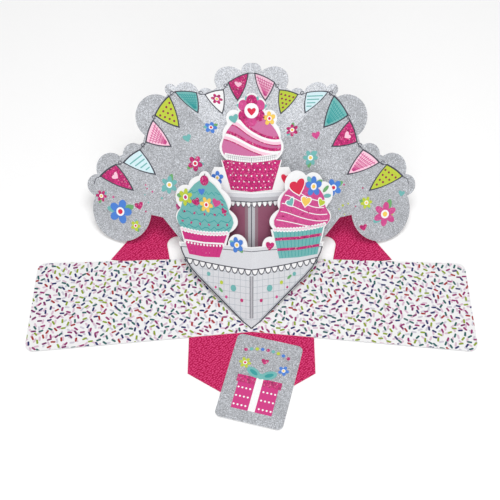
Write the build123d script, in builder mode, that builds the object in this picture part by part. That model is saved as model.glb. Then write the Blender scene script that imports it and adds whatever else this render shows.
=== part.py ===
# Pop-up card, standing open and flat on its base.
# Frame: the fold line runs along Y at x = 0, +Y goes back, z = 0 is the surface it lies on.
# The origin is below the front point of the front tier.
import os
from math import atan2, cos, radians, sin

from build123d import *

os.makedirs("parts", exist_ok=True)

# Card thicknesses
cover_card = 0.6
floor_card = 0.5
tier_card = 0.5
fan_card = 0.6
tag_card = 0.5
floor_top = cover_card + floor_card

# Scored fold line of the two flat sheets
score_width = 0.8
score_depth = 0.2

# Cover, right half: pointed front flap, middle strip, wide back part
flap_half_width = 43.5
flap_side_y = -34
flap_point_y = -61
strip_end_y = 40
back_inner = (84, 57.4)
back_corner = (102.7, 60)
back_edge_half_width = 74
back_edge_y = 104
slot_center = (52.5, 67)
slot_size = (17, 29)
slot_corner = 7.5
slot_turn = -11

# Floor sheet, right half: a wing that gets wider towards its end
wing_length = 156.7
wing_end_slant = 1.3
wing_front_y = -1.5
wing_front_corner = (wing_length, -17.6)
wing_back_corner = (wing_length - wing_end_slant, 55.8)
wing_back_knee = (49, 60)
wing_back_y = 62
wing_corner = 6

# V folds: place of the crease's foot, half opening seen from above, lean of the crease
crease_lean = radians(45)
front_base_y = 0
front_opening = radians(48)
upper_base_y = 14
upper_opening = radians(56)
fan_base_y = 30
fan_opening = radians(66)

# Glue tabs, folded back from the foot of each V fold
tab_start = 2
tab_depth = 8
tab_taper = 2
front_tab_end = 8
upper_tab_end = 15
fan_tab_end = 26

# Overlap past a crease and below the floor, trimmed off again
trim = 4

# Front tier: slanted panel, and a cake in a paper cup on each half of its rim.
# A cup gives its middle, half widths of foot and brim, and rise of the brim above the rim.
# Icing rows give middle, rise above the rim, half width and half height.
# Rows of buds, leaves and berries give middle, rise above the rim and radius.
front_rim_y = 58.5
front_low_end = (46.5, 33.5)
front_rim_end = (62, 57)
front_foot = (6, 3.2)
cup_sink = 10
left_cup = (39.5, 15, 21.5, 9)
left_icing = [(38, 16.5, 26.5, 12), (39, 29.5, 22, 12), (39, 39.5, 14, 8)]
left_rounds = [(55.5, 31, 9), (39, 45.5, 5), (11.5, 0, 8)]
right_cup = (39.5, 18, 23.5, 11)
right_icing = [(41.5, 16.5, 26.5, 11.5), (44, 29, 22.5, 12)]
right_rounds = [(37.5, 41, 10), (51.5, 40, 9), (60.5, 33, 9), (15, 0, 6)]

# Upper tier, right half: slim stem, plate with a scalloped hem and a larger cake
upper_foot = (13, 5.6)
stem_half = 26
stem_knee_y = 42
hem_y = 78.5
hem_scallop = 2.05
hem_scallops = 9
plate_half = 2 * hem_scallop * hem_scallops
plate_overlap = 1
plate_height = 7.5
plate_low_y = hem_y - plate_overlap
plate_high_y = hem_y + plate_height
plate_tab = [(36, 1), (31.5, 11), (29, 16), (20, 16)]
top_cup_height = 21
top_cup_foot_half = 17.6
top_cup_brim_y = plate_high_y + top_cup_height
top_cup_brim_half = 23.6
top_icing = [(9, 24.8, 14), (17, 22.5, 15)]
blossom_rise = 2.5
blossom_y = top_cup_brim_y + top_icing[-1][0] + top_icing[-1][2] + blossom_rise
blossom_petal = 5.5
blossom_ring = 6.5
blossom_petals = 6
top_leaf = (13.5, -5.5, 6)

# Fan, right half, laid out flat: x across from the crease, y along the crease.
# Rows of the inner part give heights above the end of the slanted fold.
fan_knot_y = 88
fan_fold_end = (60, 144.1)
fan_fold_reach = (1.5 * fan_fold_end[0], fan_knot_y + 1.5 * (fan_fold_end[1] - fan_knot_y))
fan_fold_lobe = 4.5
fan_foot = (30, 9.1)
fan_waist = (67.3, 52.1)
fan_outer_body = [(76, 53.5), (119, 68), (118, 80), (100, 96), (82, 106), (78, 120)]
fan_outer_lobes = [
    (99.8, 56.2, 23.2), (119, 74, 8), (107.5, 86, 12), (89.5, 97, 8.5), (71.5, 124.5, 16),
    (*fan_fold_end, fan_fold_lobe),
]
fan_inner_body = [(48, 4), (33, 2), (20, 14), (0, 26)]
fan_inner_lobes = [
    (fan_fold_end[0], 0, fan_fold_lobe),
    (48, 0, 8.5), (33.5, 0.5, 6), (15, 16, 13), (0, 28, 7.5),
]

# Message tag, lying turned on the front flap
tag_size = (46.5, 65)
tag_corner = 4
tag_top_y = -7.3
tag_center = (5.5, tag_top_y - tag_size[1] / 2)
tag_turn = -14.3


def leaning_panel(base_y, opening):
    """Right half of a V fold: local y runs up the crease and local z faces the viewer."""
    crease = Vector(0, cos(crease_lean), sin(crease_lean))
    floor_line = Vector(sin(opening), cos(opening), 0)
    across = (floor_line - crease * floor_line.dot(crease)).normalized()
    return Plane(origin=(0, base_y, floor_top), x_dir=across, z_dir=across.cross(crease))


def folded_back_panel(outer, knot_y, fold_end):
    """Upper half of a reverse fold: turned back about the slanted fold until it meets x = 0."""
    slant = atan2(fold_end[0], fold_end[1] - knot_y)
    fold = outer.x_dir * sin(slant) + outer.y_dir * cos(slant)
    lean = 2 * atan2(fold.Z, fold.Y) - crease_lean
    crease = Vector(0, cos(lean), sin(lean))
    square = (crease - fold * cos(slant)) * (1 / sin(slant))
    across = fold * sin(slant) - square * cos(slant)
    knot = outer.origin + outer.y_dir * knot_y
    return Plane(origin=knot - crease * knot_y, x_dir=across, z_dir=across.cross(crease))


def tab_outline(base_y, opening, tab_end):
    """Corners of one glue tab on the floor, from the panel's foot towards the back."""
    inner = Vector(sin(opening), cos(opening)) * tab_start + Vector(0, base_y)
    outer = Vector(sin(opening), cos(opening)) * tab_end + Vector(0, base_y)
    return [inner, outer, outer + Vector(-tab_taper, tab_depth), inner + Vector(0, tab_depth)]


def front_half(cup, icing, rounds):
    """Right half of the front tier with the cake on its rim."""
    cup_middle, foot_half, brim_half, brim_rise = cup
    with BuildPart() as half:
        with BuildSketch(leaning_panel(front_base_y, front_opening)):
            with BuildLine():
                Polyline(front_rim_end, (-trim, front_rim_y), (-trim, -trim), (0, -trim), front_foot)
                low_edge = Line(front_foot, front_low_end)
                TangentArc(front_low_end, front_rim_end, tangent=low_edge % 1)
            make_face()
            with Locations((0, front_rim_y)):
                Polygon(
                    (cup_middle - foot_half, -cup_sink), (cup_middle + foot_half, -cup_sink),
                    (cup_middle + brim_half, brim_rise), (cup_middle - brim_half, brim_rise), align=None,
                )
                for middle, rise, half_width, half_height in icing:
                    with Locations((middle, rise)):
                        Ellipse(half_width, half_height)
                for middle, rise, radius in rounds:
                    with Locations((middle, rise)):
                        Circle(radius)
        extrude(amount=-tier_card)
        with BuildSketch(Plane.XY.offset(floor_top)):
            Polygon(*tab_outline(front_base_y, front_opening, front_tab_end), align=None)
        extrude(amount=tier_card)
        split(bisect_by=Plane.XY.offset(floor_top), keep=Keep.TOP)
        split(bisect_by=Plane.YZ, keep=Keep.TOP)
    return half.part


# Cover: one pink sheet, folded once along x = 0
with BuildPart() as cover:
    with BuildSketch():
        with BuildLine():
            Polyline(
                (0, flap_point_y), (flap_half_width, flap_side_y), (flap_half_width, strip_end_y),
                back_inner, back_corner, (back_edge_half_width, back_edge_y), (0, back_edge_y),
                close=True,
            )
        make_face()
        with Locations(slot_center):
            RectangleRounded(*slot_size, slot_corner, rotation=slot_turn, mode=Mode.SUBTRACT)
        mirror(about=Plane.YZ)
    extrude(amount=cover_card)
    with BuildSketch(Plane.XZ):
        with Locations((0, cover_card)):
            Polygon((-score_width / 2, 0), (0, -score_depth), (score_width / 2, 0), align=None)
    extrude(amount=2 * back_edge_y, both=True, mode=Mode.SUBTRACT)
cover.part.label = "cover"
export_step(cover.part, "parts/cover.step")

# Floor sheet: two printed wings in one sheet, folded once along x = 0
with BuildPart() as floor_sheet:
    with BuildSketch(Plane.XY.offset(cover_card)) as wings:
        with BuildLine():
            Polyline(
                (0, wing_front_y), wing_front_corner, wing_back_corner, wing_back_knee,
                (0, wing_back_y), close=True,
            )
        make_face()
        fillet(wings.vertices().sort_by(Axis.X)[-2:], wing_corner)
        mirror(about=Plane.YZ)
    extrude(amount=floor_card)
    with BuildSketch(Plane.XZ):
        with Locations((0, floor_top)):
            Polygon((-score_width / 2, 0), (0, -score_depth), (score_width / 2, 0), align=None)
    extrude(amount=2 * wing_back_y, both=True, mode=Mode.SUBTRACT)
floor_sheet.part.label = "floor_sheet"
export_step(floor_sheet.part, "parts/floor_sheet.step")

# Front tier: V fold with two cakes, one sheet
right_half = front_half(right_cup, right_icing, right_rounds)
left_half = front_half(left_cup, left_icing, left_rounds)
with BuildPart() as front_tier:
    add(right_half)
    mirror(left_half, about=Plane.YZ)
front_tier.part.label = "front_tier"
export_step(front_tier.part, "parts/front_tier.step")

# Upper tier: V fold with stem, plate and the larger cake, one sheet
with BuildPart() as upper_tier:
    with BuildSketch(leaning_panel(upper_base_y, upper_opening)):
        Polygon(
            (-trim, -trim), (0, -trim), upper_foot, (stem_half, stem_knee_y), (stem_half, hem_y),
            (-trim, hem_y), align=None,
        )
        Polygon(
            (-trim, plate_low_y), (plate_half, plate_low_y), (plate_half, plate_high_y),
            (-trim, plate_high_y), align=None,
        )
        for scallop in range(hem_scallops):
            with Locations((hem_scallop * (2 * scallop + 1), hem_y)):
                Circle(hem_scallop)
        with Locations((0, plate_high_y)):
            Polygon(
                (-trim, -plate_overlap), (plate_tab[0][0], -plate_overlap), *plate_tab,
                (-trim, plate_tab[-1][1]), align=None,
            )
        Polygon(
            (-trim, plate_high_y), (top_cup_foot_half, plate_high_y),
            (top_cup_brim_half, top_cup_brim_y), (-trim, top_cup_brim_y), align=None,
        )
        for icing_rise, half_width, half_height in top_icing:
            with Locations((0, top_cup_brim_y + icing_rise)):
                Ellipse(half_width, half_height)
        with Locations((0, blossom_y)):
            Circle(blossom_ring)
            with PolarLocations(blossom_ring, blossom_petals, start_angle=90):
                Circle(blossom_petal)
        with Locations((top_leaf[0], blossom_y + top_leaf[1])):
            Circle(top_leaf[2])
    extrude(amount=-tier_card)
    with BuildSketch(Plane.XY.offset(floor_top)):
        Polygon(*tab_outline(upper_base_y, upper_opening, upper_tab_end), align=None)
    extrude(amount=tier_card)
    split(bisect_by=Plane.XY.offset(floor_top), keep=Keep.TOP)
    split(bisect_by=Plane.YZ, keep=Keep.TOP)
    mirror(about=Plane.YZ)
upper_tier.part.label = "upper_tier"
export_step(upper_tier.part, "parts/upper_tier.step")

# Fan: V fold whose top is reverse folded along two slanted lines, one sheet
fan_outer_plane = leaning_panel(fan_base_y, fan_opening)
fan_inner_plane = folded_back_panel(fan_outer_plane, fan_knot_y, fan_fold_end)
with BuildPart() as fan:
    with BuildSketch(fan_outer_plane):
        Polygon(
            (-trim, -trim), (0, -trim), fan_foot, fan_waist, *fan_outer_body, fan_fold_end,
            (0, fan_knot_y), (-trim, fan_knot_y), align=None,
        )
        for lobe_x, lobe_y, lobe_radius in fan_outer_lobes:
            with Locations((lobe_x, lobe_y)):
                Circle(lobe_radius)
        Polygon(
            (-trim, fan_knot_y), (0, fan_knot_y), fan_fold_reach, (-trim, fan_fold_reach[1]),
            align=None, mode=Mode.SUBTRACT,
        )
    extrude(amount=-fan_card)
    with BuildSketch(fan_inner_plane):
        with Locations((0, fan_fold_end[1])):
            Polygon(
                (-trim, fan_knot_y - fan_fold_end[1]), (0, fan_knot_y - fan_fold_end[1]),
                (fan_fold_end[0], 0), *fan_inner_body, (-trim, fan_inner_body[-1][1]), align=None,
            )
            for lobe_x, lobe_rise, lobe_radius in fan_inner_lobes:
                with Locations((lobe_x, lobe_rise)):
                    Circle(lobe_radius)
        Polygon(
            (0, fan_knot_y), (fan_fold_reach[0], fan_knot_y), fan_fold_reach,
            align=None, mode=Mode.SUBTRACT,
        )
    extrude(amount=-fan_card)
    with BuildSketch(Plane.XY.offset(floor_top)):
        Polygon(*tab_outline(fan_base_y, fan_opening, fan_tab_end), align=None)
    extrude(amount=fan_card)
    split(bisect_by=Plane.XY.offset(floor_top), keep=Keep.TOP)
    split(bisect_by=Plane.YZ, keep=Keep.TOP)
    mirror(about=Plane.YZ)
fan.part.label = "fan"
export_step(fan.part, "parts/fan.step")

# Message tag
with BuildPart() as message_tag:
    with BuildSketch(Plane.XY.offset(cover_card)):
        with Locations(tag_center):
            RectangleRounded(*tag_size, tag_corner, rotation=tag_turn)
    extrude(amount=tag_card)
message_tag.part.label = "message_tag"
export_step(message_tag.part, "parts/message_tag.step")
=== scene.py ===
import math
import random

import bpy
from mathutils import Matrix, Vector


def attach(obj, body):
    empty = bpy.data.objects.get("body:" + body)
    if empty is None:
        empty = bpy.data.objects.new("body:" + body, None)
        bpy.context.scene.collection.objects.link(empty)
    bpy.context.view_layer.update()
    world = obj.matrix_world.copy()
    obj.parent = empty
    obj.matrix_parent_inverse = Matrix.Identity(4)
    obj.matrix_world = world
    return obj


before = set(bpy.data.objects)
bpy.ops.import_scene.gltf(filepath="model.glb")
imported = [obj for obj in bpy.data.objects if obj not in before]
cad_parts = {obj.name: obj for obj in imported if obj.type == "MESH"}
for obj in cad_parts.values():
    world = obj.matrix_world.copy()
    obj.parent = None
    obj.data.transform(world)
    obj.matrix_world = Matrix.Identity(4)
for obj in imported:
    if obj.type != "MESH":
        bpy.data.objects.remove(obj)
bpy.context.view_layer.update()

# Sizes of the sheets, in millimetres, as in the part
MM = 0.001
FLOOR_TOP = 1.1
CREASE_LEAN = math.radians(45)
FRONT_BASE_Y = 0
FRONT_OPENING = math.radians(48)
UPPER_BASE_Y = 14
UPPER_OPENING = math.radians(56)
FAN_BASE_Y = 30
FAN_OPENING = math.radians(66)
FAN_KNOT_Y = 88
FAN_FOLD_END = (60, 144.1)
TAG_CENTER = (5.5, -39.8)
TAG_TURN = math.radians(-14.3)
TAG_TOP = 1.1

# Print: ink thickness and the step from one ink to the next above it
INK = 0.02
INK_STEP = 0.03
INK_START = 0.03
FOLD_WIDTH = 0.002

# Colours of the cards, as linear red, green and blue
PAPER = (0.87, 0.87, 0.875)
SILVER = (0.43, 0.445, 0.475)
# The cover's pink, with painted shade for the hollows of its grain and a painted highlight for its raised
# tops
COVER_PAINTED_SHADE = (0.40, 0.004, 0.062)
COVER_PINK = (0.56, 0.024, 0.13)
COVER_PAINTED_HIGHLIGHT = (0.86, 0.095, 0.27)

# Inks: colour, and how much glitter is in it
INK_COLOURS = {
    "magenta": ((0.50, 0.012, 0.15), 0.5),
    "pink": ((0.59, 0.06, 0.25), 0.15),
    "icing_pink": ((0.575, 0.15, 0.335), 0.0),
    "pale_pink": ((0.90, 0.55, 0.68), 0.0),
    "cup_pink": ((0.58, 0.02, 0.20), 0.0),
    "teal": ((0.15, 0.435, 0.42), 0.0),
    "deep_teal": ((0.02, 0.30, 0.30), 0.0),
    "lime": ((0.48, 0.58, 0.04), 0.0),
    "leaf": ((0.14, 0.38, 0.14), 0.0),
    "blue": ((0.06, 0.20, 0.62), 0.0),
    "pale_blue": ((0.62, 0.80, 0.85), 0.0),
    "red": ((0.66, 0.015, 0.06), 0.0),
    "maroon": ((0.25, 0.01, 0.06), 0.0),
    "gold": ((0.86, 0.56, 0.10), 0.0),
    # Painted shade on the upper tier below its plate
    "painted_shade_mauve": ((0.255, 0.078, 0.135), 0.0),
    "painted_shade_pale_mauve": ((0.26, 0.165, 0.20), 0.0),
    "graphite": ((0.05, 0.05, 0.07), 0.0),
    "hairline": ((0.40, 0.44, 0.48), 0.0),
    "plate_grey": ((0.46, 0.46, 0.49), 0.0),
    "soft_grey": ((0.66, 0.67, 0.70), 0.0),
    "white": (PAPER, 0.0),
}

# Rods of the sprinkle print: where each colour starts on a scale of chance from 0 to 1
PALE_RODS = [
    (0.0, (0.64, 0.47, 0.57)),
    (0.6, (0.57, 0.54, 0.61)),
]
BRIGHT_RODS = [
    (0.0, (0.26, 0.004, 0.12)),
    (0.14, (0.0, 0.09, 0.085)),
    (0.36, (0.22, 0.31, 0.003)),
    (0.54, (0.0, 0.004, 0.1)),
    (0.76, (0.32, 0.008, 0.01)),
    (0.87, (0.16, 0.002, 0.1)),
]
# A rod's size as a share of its cell
ROD_HALF_LENGTH = 0.235
ROD_RADIUS = 0.158

# A surface counts as facing up, and gets the fan's painted top light, from this upward share of its normal
FLAT_LIMIT = 0.85


def shade(colour, factor):
    return tuple(min(1.0, channel * factor) for channel in colour)


class Paint:
    """A material with its shader, and the object coordinates to draw with, in millimetres."""

    def __init__(self, name):
        self.material = bpy.data.materials.new(name)
        self.material.use_nodes = True
        self.nodes = self.material.node_tree.nodes
        self.links = self.material.node_tree.links
        self.shader = self.nodes["Principled BSDF"]
        place = self.nodes.new("ShaderNodeTexCoord")
        scale = self.nodes.new("ShaderNodeMapping")
        scale.inputs["Scale"].default_value = (1 / MM, 1 / MM, 1 / MM)
        self.links.new(place.outputs["Object"], scale.inputs["Vector"])
        self.place = scale.outputs["Vector"]

    def noise(self, scale, detail):
        texture = self.nodes.new("ShaderNodeTexNoise")
        texture.inputs["Scale"].default_value = scale
        texture.inputs["Detail"].default_value = detail
        self.links.new(self.place, texture.inputs["Vector"])
        return texture.outputs["Fac"]

    def grains(self, scale):
        """Small cells all over, each with chance numbers of its own."""
        cells = self.nodes.new("ShaderNodeTexVoronoi")
        cells.inputs["Scale"].default_value = scale
        self.links.new(self.place, cells.inputs["Vector"])
        return self.chances(cells)

    def chances(self, cells):
        split = self.nodes.new("ShaderNodeSeparateColor")
        self.links.new(cells.outputs["Color"], split.inputs["Color"])
        return split.outputs

    def flat_cells(self, turn, scale, randomness):
        """Cells on a plane that is turned and scaled first: gives the plane's spot and the cells."""
        plane = self.nodes.new("ShaderNodeMapping")
        plane.inputs["Rotation"].default_value = (0, 0, turn)
        plane.inputs["Scale"].default_value = (*scale, 0)
        self.links.new(self.place, plane.inputs["Vector"])
        cells = self.nodes.new("ShaderNodeTexVoronoi")
        cells.voronoi_dimensions = "2D"
        cells.inputs["Scale"].default_value = 1
        cells.inputs["Randomness"].default_value = randomness
        self.links.new(plane.outputs["Vector"], cells.inputs["Vector"])
        return plane.outputs["Vector"], cells

    def number(self, operation, first, second=None):
        """One sum on two numbers, each a fixed value or another node's output."""
        node = self.nodes.new("ShaderNodeMath")
        node.operation = operation
        for socket, value in zip(node.inputs, (first, second)):
            if value is None:
                continue
            if isinstance(value, (int, float)):
                socket.default_value = value
            else:
                self.links.new(value, socket)
        return node.outputs["Value"]

    def colour_steps(self, factor, steps, sharp=False):
        """Colours along a ramp: steps holds a place from 0 to 1 and a colour for each stop."""
        ramp = self.nodes.new("ShaderNodeValToRGB")
        ramp.color_ramp.interpolation = "CONSTANT" if sharp else "LINEAR"
        stops = ramp.color_ramp.elements
        while len(stops) < len(steps):
            stops.new(0.5)
        for stop, (at, colour) in zip(stops, steps):
            stop.position = at
            stop.color = (*colour, 1)
        self.links.new(factor, ramp.inputs["Fac"])
        return ramp.outputs["Color"]

    def mixed_colour(self, factor, first, second):
        node = self.nodes.new("ShaderNodeMix")
        node.data_type = "RGBA"
        self.links.new(factor, node.inputs["Factor"])
        for name, value in (("A", first), ("B", second)):
            socket = [s for s in node.inputs if s.name == name and s.type == "RGBA"][0]
            if isinstance(value, tuple):
                socket.default_value = (*value, 1)
            else:
                self.links.new(value, socket)
        return [s for s in node.outputs if s.type == "RGBA"][0]

    def facing(self, direction, limit=0.3):
        """One where the surface faces a direction, nought elsewhere."""
        geometry = self.nodes.new("ShaderNodeNewGeometry")
        dot = self.nodes.new("ShaderNodeVectorMath")
        dot.operation = "DOT_PRODUCT"
        self.links.new(geometry.outputs["True Normal"], dot.inputs[0])
        dot.inputs[1].default_value = direction
        return self.number("GREATER_THAN", dot.outputs["Value"], limit)

    def coat(self, colour, roughness, height, strength, distance):
        """Gives the surface its colour, roughness and fine relief."""
        self.links.new(colour, self.shader.inputs["Base Color"])
        self.shader.inputs["Roughness"].default_value = roughness
        relief = self.nodes.new("ShaderNodeBump")
        relief.inputs["Strength"].default_value = strength
        relief.inputs["Distance"].default_value = distance
        self.links.new(height, relief.inputs["Height"])
        self.links.new(relief.outputs["Normal"], self.shader.inputs["Normal"])
        return self.material


def white_card():
    """Uncoated white card with faint fibres."""
    paint = Paint("white_card")
    fibres = paint.noise(1.6, 4)
    colour = paint.colour_steps(fibres, [(0.3, shade(PAPER, 0.96)), (0.7, PAPER)])
    return paint.coat(colour, 0.6, fibres, 0.12, 0.00004)


def glitter_tones(strength):
    """Silver from dull to bright grains: grains of random tone, with the brightest grains painted glints.
    """
    steps = ((0.15, 0.6), (0.5, 1.0), (0.8, 1.35), (0.95, 2.0))
    return [(step, shade(SILVER, tone * strength)) for step, tone in steps]


def silver_glitter(name, front, painted_top_light):
    """Silver card with fine glitter on its printed side and plain white card behind.

    Where the printed side faces up, its tone is multiplied by the last argument. This is painted light,
    which makes the fan's panels that lie back and face up lighter. The tag faces up all over, so there it
    only gives an even tone.
    """
    paint = Paint(name)
    chance, height, _ = paint.grains(2.4)
    clouds = paint.noise(0.06, 2)
    fine = paint.number("MULTIPLY", chance, 0.8)
    broad = paint.number("MULTIPLY", clouds, 0.22)
    speck = paint.number("ADD", fine, broad)
    side_glitter = paint.colour_steps(speck, glitter_tones(1.0))
    # Painted light: a lighter copy of the glitter, used where the surface faces up
    painted_lit_glitter = paint.colour_steps(speck, glitter_tones(painted_top_light))
    silver = paint.mixed_colour(paint.facing((0, 0, 1), FLAT_LIMIT), side_glitter, painted_lit_glitter)
    colour = paint.mixed_colour(paint.facing(front), PAPER, silver)
    paint.shader.inputs["Metallic"].default_value = 0.15
    return paint.coat(colour, 0.42, height, 0.25, 0.00012)


def embossed_pink():
    """Pink card pressed with a fine, even grain like hammered leather; its colour follows the grain, with
    painted shade in the hollows and a painted highlight on the raised tops.
    """
    paint = Paint("embossed_pink_card")
    _, grain = paint.flat_cells(math.radians(32), (0.58, 0.84), 0.6)
    fine = paint.noise(2.2, 3)
    dome = paint.number("SUBTRACT", 0.7, grain.outputs["Distance"])
    height = paint.number("ADD", dome, paint.number("MULTIPLY", fine, 0.16))
    # Painted shade in the grain's hollows and a painted highlight on its tops
    colour = paint.colour_steps(height, [(0.2, COVER_PAINTED_SHADE), (0.5, COVER_PINK), (0.73, COVER_PAINTED_HIGHLIGHT)])
    paint.shader.inputs["Specular IOR Level"].default_value = 0.12
    return paint.coat(colour, 0.5, height, 0.4, 0.0006)


def sprinkle_print():
    """White sheet with small rods of many colours on its upper side, over a paler scatter."""
    paint = Paint("sprinkle_print")
    fibres = paint.noise(1.4, 3)
    sheet = paint.colour_steps(fibres, [(0.3, shade(PAPER, 0.9)), (0.7, shade(PAPER, 0.95))])
    print_colour = sheet
    for scale, turn, colours in ((0.214, 1.2, PALE_RODS), (0.222, 0.5, BRIGHT_RODS)):
        mask, rods = sprinkle_rods(paint, scale, turn, colours)
        print_colour = paint.mixed_colour(mask, print_colour, rods)
    colour = paint.mixed_colour(paint.facing((0, 0, 1)), sheet, print_colour)
    return paint.coat(colour, 0.45, fibres, 0.1, 0.00004)


def sprinkle_rods(paint, scale, turn, colours):
    """Mask and colours of one scatter of rods: one rod in each cell, turned at will."""
    spot, cells = paint.flat_cells(turn, (scale, scale), 0.55)
    away = paint.nodes.new("ShaderNodeVectorMath")
    away.operation = "SUBTRACT"
    paint.links.new(spot, away.inputs[0])
    paint.links.new(cells.outputs["Position"], away.inputs[1])
    turn_chance, colour_chance, _ = paint.chances(cells)
    along_rod = paint.nodes.new("ShaderNodeVectorRotate")
    along_rod.rotation_type = "Z_AXIS"
    paint.links.new(away.outputs["Vector"], along_rod.inputs["Vector"])
    paint.links.new(paint.number("MULTIPLY", turn_chance, 2 * math.pi), along_rod.inputs["Angle"])
    axes = paint.nodes.new("ShaderNodeSeparateXYZ")
    paint.links.new(along_rod.outputs["Vector"], axes.inputs["Vector"])
    long_way = paint.number("ABSOLUTE", axes.outputs["X"])
    short_way = paint.number("ABSOLUTE", axes.outputs["Y"])
    past_end = paint.number("MAXIMUM", paint.number("SUBTRACT", long_way, ROD_HALF_LENGTH), 0)
    end_square = paint.number("MULTIPLY", past_end, past_end)
    side_square = paint.number("MULTIPLY", short_way, short_way)
    reach = paint.number("SQRT", paint.number("ADD", end_square, side_square))
    mask = paint.number("LESS_THAN", reach, ROD_RADIUS)
    return mask, paint.colour_steps(colour_chance, colours, sharp=True)


def ink(name, colour, glitter):
    """Printed ink: an even colour with a slight mottle, and specks where it glitters: darker and lighter
    grains, with pale painted glints at the brightest.
    """
    paint = Paint(name)
    mottle = paint.noise(2.6, 2)
    tint = paint.colour_steps(mottle, [(0.3, shade(colour, 0.9)), (0.7, shade(colour, 1.08))])
    if glitter:
        bright, amount, _ = paint.grains(1.25)
        # Painted glints: the brightest grains fade towards pale grey
        painted_glint = tuple(channel + (0.85 - channel) * 0.8 * glitter for channel in colour)
        light = paint.colour_steps(bright, [
            (0.0, shade(colour, 1 - 1.3 * glitter)), (0.55, colour),
            (0.86, shade(colour, 1 + glitter)), (1.0, painted_glint)])
        tint = paint.mixed_colour(paint.number("MULTIPLY", amount, 1.4), tint, light)
    return paint.coat(tint, 0.45, mottle, 0.05, 0.00003)


inks = {name: ink(f"{name}_ink", colour, glitter) for name, (colour, glitter) in INK_COLOURS.items()}


def around(x, y, radius, angle):
    """A spot on a circle."""
    return x + radius * math.cos(angle), y + radius * math.sin(angle)


def turned(x, y, across, up, turn):
    """A spot beside and above a middle, turned about it."""
    return (x + across * math.cos(turn) - up * math.sin(turn),
            y + across * math.sin(turn) + up * math.cos(turn))


def shares(count):
    """Evenly spaced numbers from -1 to 1."""
    return [2 * step / (count - 1) - 1 for step in range(count)]


def sag(depth, share):
    """How far a row hangs down, most at its middle and nought at its ends."""
    return depth * (1 - share * share)


def to_side(side, points):
    """Points of the right half, or their mirror image where side is -1."""
    return [(side * x, y) for x, y in points]


class Sheet:
    """A printed sheet laid out flat: millimetres across from its crease and up along it."""

    def __init__(self, name):
        self.name = name
        self.motifs = []

    def field(self, colour, level, corners):
        """An even field of one ink, drawn as a flat closed curve."""
        outline = bpy.data.curves.new(self.name, "CURVE")
        outline.dimensions = "2D"
        outline.fill_mode = "BOTH"
        spline = outline.splines.new("POLY")
        spline.points.add(len(corners) - 1)
        for point, (x, y) in zip(spline.points, corners):
            point.co = (x, y, 0, 1)
        spline.use_cyclic_u = True
        outline.materials.append(inks[colour])
        motif = bpy.data.objects.new(self.name, outline)
        motif.location.z = INK_START + INK_STEP * level
        bpy.context.scene.collection.objects.link(motif)
        self.motifs.append(motif)

    def strip(self, colour, level, half_width, low, high):
        """An upright rectangle about the crease."""
        self.field(colour, level, [
            (-half_width, low), (half_width, low), (half_width, high), (-half_width, high)])

    def oval(self, colour, level, x, y, half_width, half_height, turn=0.0, sides=28):
        corners = []
        for side in range(sides):
            angle = 2 * math.pi * side / sides
            across = half_width * math.cos(angle)
            up = half_height * math.sin(angle)
            corners.append(turned(x, y, across, up, turn))
        self.field(colour, level, corners)

    def disc(self, colour, level, x, y, radius, sides=20):
        self.oval(colour, level, x, y, radius, radius, 0.0, sides)

    def line(self, colour, level, points, width):
        """A printed line of even width through points."""
        near_side = []
        far_side = []
        for index, point in enumerate(points):
            before = Vector(points[max(index - 1, 0)])
            after = Vector(points[min(index + 1, len(points) - 1)])
            along = (after - before).normalized()
            side = Vector((-along.y, along.x)) * width / 2
            near_side.append(tuple(Vector(point) + side))
            far_side.append(tuple(Vector(point) - side))
        self.field(colour, level, near_side + far_side[::-1])

    def loop(self, colour, level, x, y, radius, width):
        """A small open loop of line."""
        points = [around(x, y, radius, 2 * math.pi * bit / 14.5) for bit in range(14)]
        self.line(colour, level, points, width)

    def blossom(self, colour, heart, level, x, y, size, petals=5, turn=0.0):
        """A flower of round petals about a heart."""
        for petal in range(petals):
            angle = turn + 2 * math.pi * petal / petals
            petal_x, petal_y = around(x, y, 0.6 * size, angle)
            self.oval(colour, level, petal_x, petal_y, 0.42 * size, 1.65 * size / petals, angle, 14)
        self.disc("white", level + 1, x, y, 0.36 * size, 14)
        self.disc(heart, level + 2, x, y, 0.21 * size, 12)

    def leaf(self, colour, level, x, y, length, turn):
        middle_x, middle_y = around(x, y, length / 2, turn)
        self.oval(colour, level, middle_x, middle_y, length / 2, length / 4.5, turn, 14)

    def heart(self, colour, level, x, y, size, turn=0.0):
        corners = []
        for bit in range(24):
            angle = 2 * math.pi * bit / 24
            across = size * math.sin(angle) ** 3
            up = size * (0.81 * math.cos(angle) - 0.31 * math.cos(2 * angle) - 0.12 * math.cos(3 * angle))
            corners.append(turned(x, y, across, up, turn))
        self.field(colour, level, corners)

    def finish(self, folds, place):
        """Joins the motifs, gives the ink its thickness, cuts at the folds and lays it on the card."""
        bpy.ops.object.select_all(action="DESELECT")
        for motif in self.motifs:
            motif.select_set(True)
        bpy.context.view_layer.objects.active = self.motifs[0]
        bpy.ops.object.convert(target="MESH")
        bpy.ops.object.transform_apply(location=True, rotation=True, scale=True)
        bpy.ops.object.join()
        piece = bpy.context.object
        piece.name = self.name
        piece.data.name = self.name
        bpy.ops.object.mode_set(mode="EDIT")
        bpy.ops.mesh.select_all(action="SELECT")
        bpy.ops.mesh.extrude_region_move(TRANSFORM_OT_translate={"value": (0, 0, INK)})
        for through, square in folds:
            bpy.ops.mesh.select_all(action="SELECT")
            bpy.ops.mesh.bisect(plane_co=(*through, 0), plane_no=(*square, 0))
        bpy.ops.object.mode_set(mode="OBJECT")
        for vertex in piece.data.vertices:
            vertex.co = place(vertex.co) * MM
        bpy.ops.object.mode_set(mode="EDIT")
        bpy.ops.mesh.select_all(action="SELECT")
        bpy.ops.mesh.normals_make_consistent(inside=False)
        bpy.ops.object.mode_set(mode="OBJECT")
        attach(piece, "root")


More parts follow.
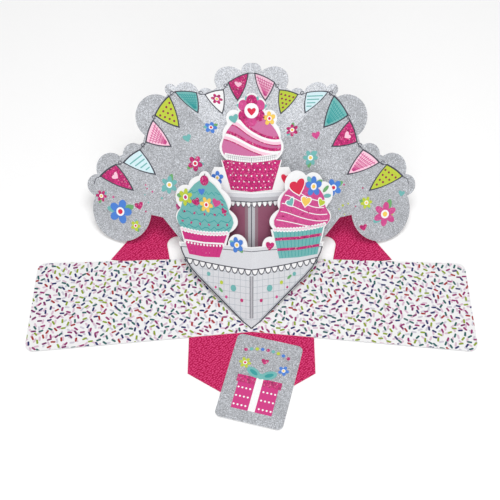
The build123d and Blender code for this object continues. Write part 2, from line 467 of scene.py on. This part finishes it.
def leaning_panel(base_y, opening):
    """Foot, sideways, upward and outward directions of the right half of a V fold."""
    crease = Vector((0, math.cos(CREASE_LEAN), math.sin(CREASE_LEAN)))
    floor_line = Vector((math.sin(opening), math.cos(opening), 0))
    across = (floor_line - crease * floor_line.dot(crease)).normalized()
    return Vector((0, base_y, FLOOR_TOP)), across, crease, across.cross(crease)


def folded_back_panel(outer):
    """The fan's upper panel, turned back about its slanted fold."""
    foot, outer_across, outer_crease, _ = outer
    slant = math.atan2(FAN_FOLD_END[0], FAN_FOLD_END[1] - FAN_KNOT_Y)
    fold = outer_across * math.sin(slant) + outer_crease * math.cos(slant)
    lean = 2 * math.atan2(fold.z, fold.y) - CREASE_LEAN
    crease = Vector((0, math.cos(lean), math.sin(lean)))
    square = (crease - fold * math.cos(slant)) / math.sin(slant)
    across = fold * math.sin(slant) - square * math.cos(slant)
    return foot + (outer_crease - crease) * FAN_KNOT_Y, across, crease, across.cross(crease)


def mitre(first, second):
    """Direction in which a thin layer rises on the fold between two panels."""
    return (first + second) / (1 + first.dot(second))


def on_panel(panel, spot, outward):
    """Place of a flat spot on a V fold: the left half mirrors the right."""
    foot, across, crease, normal = panel
    if abs(spot.x) < FOLD_WIDTH:
        outward = mitre(normal, Vector((-normal.x, normal.y, normal.z)))
    place = foot + across * abs(spot.x) + crease * spot.y + outward * spot.z
    if spot.x < 0:
        place.x = -place.x
    return place


front_panel = leaning_panel(FRONT_BASE_Y, FRONT_OPENING)
upper_panel = leaning_panel(UPPER_BASE_Y, UPPER_OPENING)
fan_panel = leaning_panel(FAN_BASE_Y, FAN_OPENING)
fan_top_panel = folded_back_panel(fan_panel)
fan_fold_rise = (FAN_FOLD_END[1] - FAN_KNOT_Y) / FAN_FOLD_END[0]


def on_fan(spot):
    rise = spot.y - FAN_KNOT_Y - fan_fold_rise * abs(spot.x)
    if abs(rise) < FOLD_WIDTH:
        return on_panel(fan_panel, spot, mitre(fan_panel[3], fan_top_panel[3]))
    panel = fan_top_panel if rise > 0 else fan_panel
    return on_panel(panel, spot, panel[3])


def on_upper_tier(spot):
    return on_panel(upper_panel, spot, upper_panel[3])


def on_front_tier(spot):
    return on_panel(front_panel, spot, front_panel[3])


def on_tag(spot):
    flat = Matrix.Rotation(TAG_TURN, 3, "Z") @ Vector(spot)
    return flat + Vector((*TAG_CENTER, TAG_TOP))


CREASE_CUT = ((0, 0), (1, 0))
FAN_CUTS = (
    CREASE_CUT,
    ((0, FAN_KNOT_Y), (-fan_fold_rise, 1)),
    ((0, FAN_KNOT_Y), (fan_fold_rise, 1)),
)


def swirl(left, right, across):
    """Height of a piped line that falls from the left side to the right."""
    share = (across + 1) / 2
    return left + (right - left) * (share * share * (3 - 2 * share))


class Cake:
    """A cake in a paper cup: its middle, brim and height, and half widths of its icing going up."""

    def __init__(self, x, brim, height, widths):
        self.x = x
        self.brim = brim
        self.height = height
        self.widths = widths

    def half_width(self, up):
        place = min(max(up, 0.0), 1.0) * (len(self.widths) - 1)
        step = min(int(place), len(self.widths) - 2)
        return self.widths[step] + (self.widths[step + 1] - self.widths[step]) * (place - step)

    def spot(self, across, up):
        """A spot on the icing: across from -1 to 1, up from 0 at the brim to 1 at the top."""
        up = min(max(up, 0.0), 1.0)
        x = self.x + across * self.half_width(up)
        return x, self.brim + up * self.height - sag(2.2, across) * (1 - up)

    def outline(self):
        left = [self.spot(-1, step / 20) for step in range(21)]
        right = [self.spot(1, step / 20) for step in range(20, -1, -1)]
        bottom = [self.spot(1 - step / 5, 0) for step in range(1, 10)]
        return left + right + bottom

    def band(self, sheet, colour, level, left, right, thick):
        """A piped band round the icing."""
        low = [self.spot(across, swirl(left, right, across)) for across in shares(17)]
        high = [self.spot(across, swirl(left, right, across) + thick) for across in shares(17)]
        sheet.field(colour, level, low + high[::-1])


def paper_cup(sheet, level, cup, cup_ink, pleat_ink, pleats):
    """Paper cup of a cake: a field that widens upwards, with pleat lines.

    The cup gives its middle, foot, brim and the half widths of foot and brim.
    """
    x, low, high, low_half, high_half = cup
    sheet.field(cup_ink, level, [
        (x - low_half, low + 0.8), (x, low), (x + low_half, low + 0.8),
        (x + high_half, high), (x - high_half, high)])
    for share in shares(pleats + 1)[1:-1]:
        pleat = [(x + share * low_half, low + 1), (x + share * high_half, high - 0.4)]
        sheet.line(pleat_ink, level + 1, pleat, 0.4)


def cup_band(sheet, colour, level, cup, rise, width):
    """A band round a paper cup at some height."""
    x, low, high, low_half, high_half = cup
    reach = low_half + (high_half - low_half) * (rise - low) / (high - low)
    sheet.line(colour, level, [(x - reach, rise + 0.8), (x, rise), (x + reach, rise + 0.8)], width)


def lace(sheet, level, x, y, half, count, radius):
    """A row of small white scallops with pale dots."""
    for share in shares(count):
        scallop_x = x + share * half
        scallop_y = y - sag(1.6, share)
        sheet.disc("white", level, scallop_x, scallop_y, radius, 12)
        sheet.disc("pale_pink", level + 1, scallop_x, scallop_y, 0.45 * radius, 8)


# Fan print: bunting along the edge, blossoms, hearts and dots below it.
# A flag row gives its upper corners and its tip on the right half.
FLAGS = [
    ((2.8, 169.6), (17.4, 158.6), (10.4, 145)),
    ((21.4, 151.2), (34.6, 144.6), (22, 131.5)),
    ((41.4, 144.8), (56.6, 142.4), (40, 128.6)),
    ((61.4, 139), (72, 125.8), (54.2, 117.8)),
    ((73.8, 121.6), (79.4, 106.6), (60.8, 104)),
    ((84.6, 100.4), (97.2, 91.2), (73.2, 83.6)),
    ((103.6, 89.2), (116, 80.6), (90.8, 71.4)),
]
RIGHT_FLAGS = [
    ("pale_pink", "pink", "checks"), ("lime", "maroon", "dots"), ("pale_blue", "teal", "stripes"),
    ("teal", "deep_teal", "checks"), ("magenta", "pale_pink", "heart"), ("pale_pink", "pink", "checks"),
    ("lime", "maroon", "dots"),
]
LEFT_FLAGS = [
    ("magenta", "pale_pink", "heart"), ("white", "magenta", "blossom"), ("teal", "deep_teal", "checks"),
    ("lime", "maroon", "dots"), ("pale_pink", "pink", "checks"), ("pale_blue", "teal", "stripes"),
    ("magenta", "pale_pink", "heart"),
]
# The cord between the flags: from the crease to the first flag, and from the last flag to the loose end
CORD_WIDTH = 0.5
CORD_MIDDLE = [(0, 170.7), FLAGS[0][0]]
CORD_END = [FLAGS[-1][1], (120.5, 78.5), (121.5, 74.5)]
# Figures below the bunting: place, size and colour of each
GARDEN = [
    ("blossom", -101, 55, 9, "blue"), ("blossom", 103, 53, 9, "pink"),
    ("heart", -86, 60, 3.4, "magenta"), ("blossom", 88, 62, 4.6, "lime"),
    ("heart", 116, 68, 2.6, "teal"), ("blossom", -116, 66, 4.4, "magenta"),
    ("blossom", -89, 45, 4, "lime"), ("heart", 86, 44, 3, "magenta"),
    ("blossom", 62, 74, 6.4, "blue"), ("blossom", -62, 76, 6.4, "teal"),
    ("heart", -54, 60, 3.4, "pink"), ("heart", 52, 58, 3.4, "lime"),
    ("blossom", -42, 92, 5.6, "magenta"), ("blossom", 44, 96, 5.6, "teal"),
    ("heart", -48, 110, 3.2, "teal"), ("heart", 48, 112, 3.2, "pink"),
    ("blossom", -30, 118, 4.6, "blue"), ("blossom", 30, 116, 4.6, "magenta"),
]


def bulged(corners, middle):
    """A flag's outline with sides that bulge outwards a little."""
    outline = []
    for start, end in zip(corners, corners[1:] + corners[:1]):
        outward = ((start + end) / 2 - middle).normalized() * 0.055 * (end - start).length
        for step in range(6):
            share = step / 6
            outline.append(tuple(start + (end - start) * share + outward * 4 * share * (1 - share)))
    return outline


def bunting_flag(sheet, side, corners, field, pattern, figure):
    """One flag of the bunting, dark at its edge, with a simple figure."""
    edge = [Vector((side * x, y)) for x, y in corners]
    middle = sum(edge, Vector((0, 0))) / 3
    edge = [middle + (corner - middle) * 1.1 for corner in edge]
    inset = [middle + (corner - middle) * 0.87 for corner in edge]
    sheet.field("graphite", 1, bulged(edge, middle))
    sheet.field(field, 2, bulged(inset, middle))
    tip = edge[2]
    top = (edge[0] + edge[1]) / 2

    def at(along, down):
        """A spot on the flag: along its upper edge from -1 to 1, down from 0 to 1 at the tip."""
        upper = top + (inset[1] - inset[0]) / 2 * along * (1 - down)
        return upper + (tip - top) * (0.1 + 0.78 * down)

    if figure == "dots":
        for row, count in enumerate((4, 3, 2, 1)):
            for column in range(count):
                spot = at((column - (count - 1) / 2) * 0.52 / (1 - 0.22 * row), 0.1 + 0.22 * row)
                sheet.disc(pattern, 3, spot.x, spot.y, 0.85, 10)
    elif figure == "checks":
        for row in range(6):
            down = 0.07 + 0.14 * row
            sheet.line(pattern, 3, [at(-1, down), at(1, down)], 0.45)
        for column in range(-3, 4):
            sheet.line(pattern, 4, [at(column / 4, 0), at(column / 4, 0.86)], 0.45)
    elif figure == "stripes":
        for row in range(4):
            down = 0.12 + 0.2 * row
            sheet.line(pattern, 3, [at(-0.9, down), at(0.9, down)], 0.9)
    elif figure == "blossom":
        spot = at(0, 0.28)
        sheet.blossom(pattern, "gold", 3, spot.x, spot.y, 4.4, 6)
    elif figure == "heart":
        spot = at(0, 0.24)
        sheet.heart(pattern, 3, spot.x, spot.y, 2.8, math.atan2(tip.x - top.x, top.y - tip.y))


def fan_print():
    sheet = Sheet("fan_print")
    for side, styles in ((-1, LEFT_FLAGS), (1, RIGHT_FLAGS)):
        for corners, (field, pattern, figure) in zip(FLAGS, styles):
            bunting_flag(sheet, side, corners, field, pattern, figure)
        for (_, before, _), (after, _, _) in zip(FLAGS, FLAGS[1:]):
            start = Vector((side * before[0], before[1]))
            end = Vector((side * after[0], after[1]))
            sheet.line("graphite", 1, [start, end], CORD_WIDTH)
            sheet.loop("graphite", 1, (start.x + end.x) / 2, (start.y + end.y) / 2 + 0.6, 1.4, CORD_WIDTH)
        sheet.line("graphite", 1, to_side(side, CORD_MIDDLE), CORD_WIDTH)
        sheet.line("graphite", 1, to_side(side, CORD_END), CORD_WIDTH)
    for count, (figure, x, y, size, colour) in enumerate(GARDEN):
        if figure == "heart":
            sheet.heart(colour, 1, x, y, size, 0.3 * math.sin(count))
        else:
            sheet.leaf("leaf", 0, x, y, size * 1.3, 0.8 * count + 0.4)
            sheet.leaf("teal", 0, x, y, size * 1.2, 0.8 * count + 2.9)
            sheet.blossom(colour, "gold" if count % 2 else "red", 1, x, y, size, 5 + count % 2, 0.4 * count)
    scatter = random.Random(4)
    for dot in range(36):
        x = (1 if dot % 2 else -1) * scatter.uniform(34, 112)
        y = scatter.uniform(52, 76)
        colour = scatter.choice(["magenta", "teal", "lime", "pink"])
        sheet.disc(colour, 0, x, y, scatter.uniform(0.5, 0.9), 8)
    sheet.finish(FAN_CUTS, on_fan)


# Upper tier print: painted shade below the plate, post, plate with scalloped hem, dotted cup, swirled icing
# and a blossom
POST_LOW = 14
STEM_LOW = 44
STEM_TOP = 77
HEM_Y = 78.6
HEM_SCALLOP_HALF = 2.05
PLATE_HALF = 36
PLATE_TOP = 85.6
TOP_CUP = (0, 85.7, 107, 15.9, 22.6)
TOP_BLOSSOM_Y = 141.5


def upper_tier_print():
    sheet = Sheet("upper_tier_print")
    # Painted shade below the plate, where the front tier shades this tier: dark mauve, lighter in a band
    # beside the post
    sheet.strip("painted_shade_mauve", 0, 24.5, STEM_LOW, STEM_TOP)
    sheet.strip("painted_shade_pale_mauve", 1, 5, POST_LOW, STEM_TOP)
    sheet.strip("plate_grey", 2, 2.6, POST_LOW, STEM_TOP)
    sheet.line("graphite", 3, [(0, POST_LOW), (0, STEM_TOP)], 0.5)
    for scallop in range(-9, 9):
        x = HEM_SCALLOP_HALF * (2 * scallop + 1)
        drop = 4 if abs(x) < 25 else 1.9
        sheet.oval("graphite", 4, x, HEM_Y, 2, drop, 0.0, 16)
        sheet.oval("white", 5, x, 78.7, 1.5, drop - 0.5, 0.0, 16)
    sheet.strip("soft_grey", 6, PLATE_HALF, HEM_Y, PLATE_TOP)
    sheet.strip("plate_grey", 7, PLATE_HALF, 78.8, 81.6)
    sheet.line("white", 7, [(-PLATE_HALF, 84.9), (PLATE_HALF, 84.9)], 0.9)
    sheet.line("graphite", 8, [(-PLATE_HALF, HEM_Y), (PLATE_HALF, HEM_Y)], 0.6)
    paper_cup(sheet, 6, TOP_CUP, "magenta", "cup_pink", 9)
    sheet.field("magenta", 6, [(-18.6, 107), (18.6, 107), (18.9, 110), (-18.9, 110)])
    for row in range(5):
        for column in range(-5, 6):
            x = (column + (0.5 if row % 2 else 0)) * (3.5 + 0.25 * row)
            if abs(x) < 14.6 + 1.1 * row:
                sheet.disc("white", 8, x, 88.4 + 4.2 * row, 0.5, 10)
    cake = Cake(0, 111, 28, (21.2, 22.5, 22.8, 22.1, 21.2, 20, 18.3, 16.1, 13.2, 9.3, 3))
    sheet.field("icing_pink", 9, cake.outline())
    for left, right in ((0.38, -0.04), (0.74, 0.24), (1.06, 0.56)):
        cake.band(sheet, "white", 10, left, right, 0.15)
        cake.band(sheet, "pale_pink", 11, left + 0.015, right + 0.015, 0.06)
        cake.band(sheet, "magenta", 11, left + 0.14, right + 0.135, 0.07)
        cake.band(sheet, "magenta", 11, left - 0.02, right - 0.02, 0.028)
    ribbon = []
    for share in shares(25):
        ribbon.append((share * 19.3, 109.4 - sag(1.6, share)))
        sheet.disc("white", 12, share * 19.6, 111.2 - sag(1.6, share), 1, 10)
    sheet.line("white", 12, ribbon, 3.4)
    sheet.line("plate_grey", 13, ribbon, 0.35)
    for x, y in ribbon[1:-1]:
        sheet.line("plate_grey", 13, [(x, y - 1.6), (x, y + 1.6)], 0.35)
    for turn in (0.5, 1.2, 1.9, 2.6):
        sheet.leaf("teal", 13, *around(0, 139, 7, turn), 6, turn)
    for petal in range(6):
        angle = math.pi / 2 + 2 * math.pi * petal / 6
        petal_ink = "pink" if petal % 2 else "magenta"
        sheet.disc(petal_ink, 14, *around(0, TOP_BLOSSOM_Y, 6.9, angle), 3.9, 16)
    sheet.disc("white", 15, 0, TOP_BLOSSOM_Y, 5.2)
    sheet.heart("red", 16, 0, 141.3, 3)
    sheet.heart("teal", 14, -13.4, 136, 3.6, 0.3)
    sheet.blossom("gold", "red", 14, 13.4, 136, 4.8, 5, 0.4)
    sheet.blossom("blue", "gold", 7, -26.4, 94.4, 4.8, 5, 0.3)
    sheet.heart("red", 7, 26.4, 94, 3.8, -0.2)
    sheet.finish((CREASE_CUT,), on_upper_tier)


# Front tier print: squared paper, post, scalloped trim and the two cakes.
# Lists of points are those of the right half.
FRONT_FOOT = (6, 3.2)
FRONT_LOW_END = (46.5, 33.5)
FRONT_SLOPE = (FRONT_LOW_END[1] - FRONT_FOOT[1]) / (FRONT_LOW_END[0] - FRONT_FOOT[0])
FRONT_PANEL = [(0, 1.5), (6, 4.4), (46, 34.4), (55.5, 44), (59.6, 53), (59.6, 56), (0, 57.6)]
FRONT_EDGE = [
    (0, 0.9), (6, 4.2), (20, 14.7), (34, 25.2), (46, 34.2),
    (51.3, 38.8), (55.6, 44.2), (58.8, 49.6), (60.4, 53.6),
]
FRONT_BAND_TOP = [(58.6, 50.4), (60.2, 55.8), (40, 57.2), (0, 57.6)]
FRONT_DOTS = [
    (15, 28, 2.4, "teal"), (25, 31, 1.4, "lime"), (36, 36, 1.5, "teal"),
    (8, 20, 1.3, "magenta"), (21, 21, 1.1, "pink"), (30, 27, 0.9, "magenta"),
]
FRONT_POST_LOW = 8
FRONT_POST_TOP = 38
ROW_SLOPE = 0.748
GRID = 4.6
GRID_HALF = 44
GRID_LINE = 0.28
TRIM_SCALLOP_HALF = 2.75
TRIM_STEP = 5.6
LEFT_CUP = (-39.6, 48, 67, 13.2, 20)
RIGHT_CUP = (39.4, 47.6, 69.5, 16.6, 22)


def trim_height(x):
    """The trim rises a little towards the ends of the tier."""
    return 42.6 + 3.6 * (x / 58) ** 2


def low_edge(x):
    """Lower edge of the front tier."""
    return FRONT_FOOT[1] + FRONT_SLOPE * (abs(x) - FRONT_FOOT[0])


def front_tier_print():
    sheet = Sheet("front_tier_print")
    for side in (-1, 1):
        sheet.field("soft_grey", 0, to_side(side, FRONT_PANEL))
    for column in range(1, 10):
        x = GRID * column
        for side in (-1, 1):
            upright = [(x, low_edge(x) + 1.6), (x, trim_height(x) - 2)]
            sheet.line("hairline", 1, to_side(side, upright), GRID_LINE)
    for row in range(8):
        y = 7 + GRID * row
        reach = min(FRONT_FOOT[0] + (y - FRONT_FOOT[1]) / ROW_SLOPE - 2, GRID_HALF)
        sheet.line("hairline", 1, [(-reach, y), (0, y), (reach, y)], GRID_LINE)
    sheet.strip("plate_grey", 2, 1.3, FRONT_POST_LOW, FRONT_POST_TOP)
    for x in (-1.1, 1.1):
        sheet.line("graphite", 3, [(x, FRONT_POST_LOW), (x, FRONT_POST_TOP)], 0.5)
    for side in (-1, 1):
        # A dark line along the lower edges: partly the print's outline, partly painted shadow in the gap
        # between the tier's lower edge and the floor sheet
        sheet.line("graphite", 3, to_side(side, FRONT_EDGE), 1.1)
        sheet.line("hairline", 2, [(side * x, y + 1.6) for x, y in FRONT_EDGE[1:6]], 0.5)
        for step in range(10):
            x = side * TRIM_SCALLOP_HALF * (1 + 2 * step)
            sheet.oval("graphite", 4, x, trim_height(x), TRIM_SCALLOP_HALF, 4.4, 0.0, 18)
            sheet.oval("white", 5, x, trim_height(x) + 0.1, 2.1, 3.7, 0.0, 18)
        trim = [(side * TRIM_STEP * step, trim_height(TRIM_STEP * step)) for step in range(11)]
        sheet.field("soft_grey", 6, trim + to_side(side, FRONT_BAND_TOP))
        sheet.line("graphite", 7, trim, 0.7)
        sheet.line("graphite", 7, to_side(side, [(0, 55.4), (24, 55), (60, 53.4)]), 0.45)
        for x, y, radius, colour in FRONT_DOTS:
            sheet.disc(colour, 4, side * x, y, radius, 14)
    sheet.leaf("leaf", 4, -24, 24, 4.4, 2.4)
    sheet.leaf("leaf", 4, 30, 33, 4.4, 0.6)
    berry_cake(sheet)
    heart_cake(sheet)
    sheet.leaf("leaf", 12, -11.8, 59, 7, -0.8)
    sheet.leaf("teal", 12, -11.8, 59, 6.6, 2.8)
    sheet.blossom("blue", "gold", 13, -11.8, 59, 5.6, 5, 0.6)
    sheet.heart("magenta", 9, 15, 58.2, 3.6, -0.2)
    sheet.finish((CREASE_CUT,), on_front_tier)


def berry_cake(sheet):
    """Left cake: pink cup with a white scalloped line, teal icing and a berry."""
    paper_cup(sheet, 8, LEFT_CUP, "cup_pink", "magenta", 9)
    for share in shares(13):
        sheet.disc("white", 9, -39.6 + 16.4 * share, 57.4 - sag(0.9, share), 0.8, 10)
    cup_band(sheet, "white", 10, LEFT_CUP, 58, 1.2)
    cake = Cake(-39, 67, 36, (20, 23, 24.4, 23.4, 20.8, 19.6, 18, 15.4, 12.2, 8.6, 3))
    sheet.field("teal", 11, cake.outline())
    lace(sheet, 12, -39.4, 66.6, 19.2, 15, 1.7)
    teal_icing(sheet, cake)
    sheet.disc("magenta", 14, -39, 102.4, 3.6)
    sheet.line("graphite", 14, [(-39, 105.8), (-38.6, 107.2)], 0.5)


def heart_cake(sheet):
    """Right cake: pleated teal cup with two glitter bands, pink icing, hearts and a blossom."""
    paper_cup(sheet, 8, RIGHT_CUP, "teal", "deep_teal", 12)
    for rise, width in ((54, 1.9), (61.5, 2.1)):
        cup_band(sheet, "magenta", 10, RIGHT_CUP, rise, width)
    cake = Cake(42.6, 69.5, 31, (21.4, 24, 24.2, 22.4, 20.2, 19.2, 19, 17.8, 15.4, 11.4, 3))
    sheet.field("pink", 11, cake.outline())
    lace(sheet, 12, 40.4, 69.4, 21.4, 17, 1.7)
    pink_icing(sheet, cake)
    sheet.leaf("leaf", 9, 60.4, 93, 6.4, 0.7)
    sheet.leaf("teal", 9, 61, 90, 6.6, 0)


def teal_icing(sheet, cake):
    """Combed icing with small dots, blossoms and hearts on it."""
    for row in range(6):
        up = 0.1 + 0.13 * row
        wave = []
        for bit, share in enumerate(shares(17)):
            wave.append(cake.spot(0.94 * share, up + 0.035 * math.sin(2.4 * bit + row)))
        sheet.line("deep_teal", 12, wave, 0.55)
    for up, count in ((0.17, 6), (0.36, 5), (0.55, 4)):
        for column, share in enumerate(shares(count)):
            x, y = cake.spot(0.8 * share, up)
            sheet.oval("magenta", 13, x, y, 1.1, 0.75, 0.9 * column, 10)
    for x, y, size, colour, heart in (
            (-55.4, 89.6, 6.2, "lime", "magenta"), (-37.4, 85.4, 5.6, "gold", "red")):
        sheet.leaf("leaf", 13, x, y, 1.25 * size, 0.4 * x)
        sheet.blossom(colour, heart, 14, x, y, size, 6, 0.2 * x)
    for x, y, size, colour, turn in (
            (-46.4, 87, 3.4, "magenta", 0.4), (-29, 87.4, 3.6, "pink", -0.3),
            (-41.4, 94.6, 2.8, "blue", 0.1), (-22.6, 82, 2.4, "magenta", -0.5)):
        sheet.heart(colour, 14, x, y, size, turn)


def pink_icing(sheet, cake):
    """Swirled icing with white lines, hearts and a blossom on it."""
    for left, right in ((0.22, -0.02), (0.4, 0.1), (0.58, 0.24), (0.76, 0.4), (0.94, 0.56)):
        across = [0.93 * share for share in shares(15)]
        sheet.line("white", 12, [cake.spot(x, swirl(left, right, x)) for x in across], 0.6)
    for column, share in enumerate(shares(7)):
        x, y = cake.spot(0.75 * share, 0.3 + 0.12 * math.sin(2.2 * column))
        sheet.oval("magenta", 13, x, y, 1.2, 0.5, 1.1 * column, 10)
    for x, y, size, colour, turn in (
            (38, 98.4, 6.6, "red", 0.25), (45.4, 87.4, 4, "gold", -0.2),
            (32, 87.6, 3.2, "teal", 0.5), (59, 85.6, 3, "lime", -0.5)):
        sheet.heart("white", 13, x, y, size + 1, turn)
        sheet.heart(colour, 14, x, y, size, turn)
    sheet.leaf("teal", 13, 52, 97.4, 9, 2.2)
    sheet.leaf("leaf", 13, 52, 97.4, 8.6, 0.5)
    sheet.blossom("blue", "gold", 14, 52, 97.4, 7.2, 5, 0.3)


# Tag print: a wrapped present, blossoms and dots
PRESENT_LOW = -24
LID_LOW = -4
LID_TOP = 1.5


def tag_print():
    sheet = Sheet("tag_print")
    sheet.strip("cup_pink", 1, 14, PRESENT_LOW, LID_LOW)
    sheet.strip("magenta", 2, 15.5, LID_LOW, LID_TOP)
    sheet.strip("white", 3, 2.4, PRESENT_LOW, LID_TOP)
    for side in (-1, 1):
        sheet.oval("teal", 4, side * 5.4, 5, 5.6, 3.1, side * 0.5)
        sheet.oval("deep_teal", 5, side * 5.4, 5, 3.2, 1.4, side * 0.5)
        for row in range(3):
            for column in range(4):
                sheet.disc("white", 3, side * (4.6 + 2.7 * column), -21 + 6.5 * row, 0.7, 10)
    sheet.disc("teal", 6, 0, 3, 2.2)
    for step, share in enumerate(shares(9)):
        colour = ("magenta", "teal", "lime", "blue")[step % 4]
        sheet.disc(colour, 1, 15 * share, 24 - 3 * share * share, 1.3, 14)
    sheet.blossom("lime", "red", 1, -13, 11, 4.2, 6)
    sheet.blossom("blue", "gold", 1, 14, 11, 3.8, 5)
    sheet.heart("magenta", 1, 0, 15, 2.6)
    sheet.finish((), on_tag)


def dress(node, material):
    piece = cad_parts[node]
    piece.data.materials.clear()
    piece.data.materials.append(material)


paper = white_card()
toward_viewer = (0, -math.sin(CREASE_LEAN), math.cos(CREASE_LEAN))
dress("cover", embossed_pink())
dress("floor_sheet", sprinkle_print())
dress("front_tier", paper)
dress("upper_tier", paper)
# The fan's upturned panels get painted light: their glitter is 1.42 times lighter
dress("fan", silver_glitter("silver_glitter_fan", toward_viewer, 1.42))
dress("message_tag", silver_glitter("silver_glitter_tag", (0, 0, 1), 0.88))

fan_print()
upper_tier_print()
front_tier_print()
tag_print()


# Floor, light and camera
SENSOR_WIDTH = 36
LENS_TO_SENSOR = 2.072


def studio_floor():
    bpy.ops.object.select_all(action="DESELECT")
    bpy.ops.mesh.primitive_plane_add(size=6, location=(0, 0, -0.0002))
    floor = bpy.context.object
    floor.name = "studio_floor"
    paint = Paint("pale_floor")
    paint.shader.inputs["Base Color"].default_value = (0.97, 0.97, 0.97, 1)
    paint.shader.inputs["Roughness"].default_value = 0.8
    floor.data.materials.append(paint.material)


def soft_light(name, place, aim, size, power):
    bpy.ops.object.light_add(type="AREA", location=place)
    light = bpy.context.object
    light.name = name
    light.data.shape = "DISK"
    light.data.size = size
    light.data.energy = power
    light.rotation_euler = (Vector(aim) - Vector(place)).to_track_quat("-Z", "Y").to_euler()


def photo_camera():
    """Stands high in front of the card and looks down at it."""
    place = Vector((-0.00105, -0.3697, 0.6262))
    pitch = math.radians(55)
    right = Vector((1, 0, 0))
    forward = Vector((0, math.cos(pitch), -math.sin(pitch)))
    up = right.cross(forward)
    bpy.ops.object.camera_add(location=place)
    camera = bpy.context.object
    camera.rotation_euler = Matrix((right, up, -forward)).transposed().to_euler()
    camera.data.sensor_width = SENSOR_WIDTH
    camera.data.lens = SENSOR_WIDTH * LENS_TO_SENSOR
    bpy.context.scene.camera = camera


studio_floor()
soft_light("key_light", (0.1, -0.1, 1.25), (0, 0.05, 0), 0.7, 8.3)
soft_light("fill_light", (-0.25, -0.75, 0.95), (0, 0.05, 0), 1.0, 2.1)
soft_light("front_light", (0.0, -1.2, 0.5), (0, 0.05, 0.03), 0.8, 3.0)
photo_camera()

world = bpy.data.worlds.new("pale_room")
world.use_nodes = True
world.node_tree.nodes["Background"].inputs["Color"].default_value = (1, 1, 1, 1)
world.node_tree.nodes["Background"].inputs["Strength"].default_value = 0.47
bpy.context.scene.world = world
bpy.context.scene.view_settings.view_transform = "Standard"
